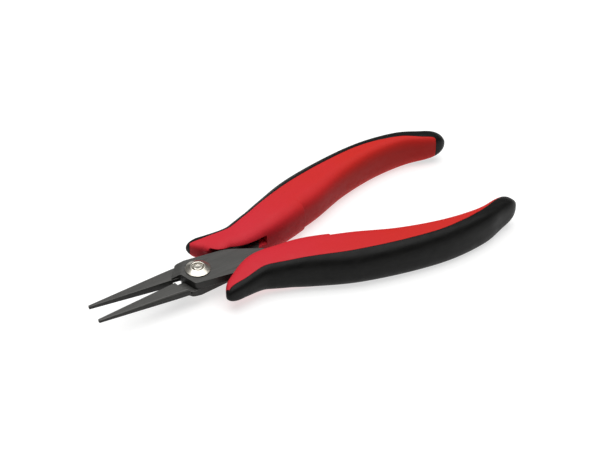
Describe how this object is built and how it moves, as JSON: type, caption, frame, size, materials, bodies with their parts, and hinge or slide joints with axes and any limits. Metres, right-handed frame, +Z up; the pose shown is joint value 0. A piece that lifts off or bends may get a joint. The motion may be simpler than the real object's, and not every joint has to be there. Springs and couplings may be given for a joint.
{
  "type": "flat nose pliers",
  "caption": "Flat nose pliers with slim smooth jaws, a lapped riveted joint, leaf spring return and two-colour cushioned grips.",
  "frame": {"origin": "on the surface that the pliers lie on, under the middle of their open length and width", "axes": "+X from the jaw tips to the handle ends, +Z up along the rivet"},
  "size_m": [0.1585, 0.0658, 0.0145],
  "materials": {
    "blackened_steel": "ground and blackened",
    "nickel_plate": "satin nickel plate",
    "spring_steel": "rolled",
    "red_core": "matt moulded",
    "black_cover": "smooth satin"
  },
  "bodies": {
    "lower_handle": {"lower_half": "blackened_steel", "pivot_rivet": "nickel_plate", "rivet_collar": "nickel_plate", "lower_leaf_spring": "spring_steel", "lower_grip_core": "red_core", "lower_grip_cover": "black_cover"},
    "upper_handle": {"upper_half": "blackened_steel", "upper_leaf_spring": "spring_steel", "upper_grip_core": "red_core", "upper_grip_cover": "black_cover"}
  },
  "joints": [
    {"name": "jaw_hinge", "type": "hinge", "parent": "lower_handle", "child": "upper_handle", "pos_m": [-0.0394, 0, 0.00725], "axis": [0, 0, 1], "range_deg": [-5, 10.1], "stiffness_Nm_per_rad": 1.2, "deforming": ["upper_leaf_spring", "lower_leaf_spring"]}
  ]
}
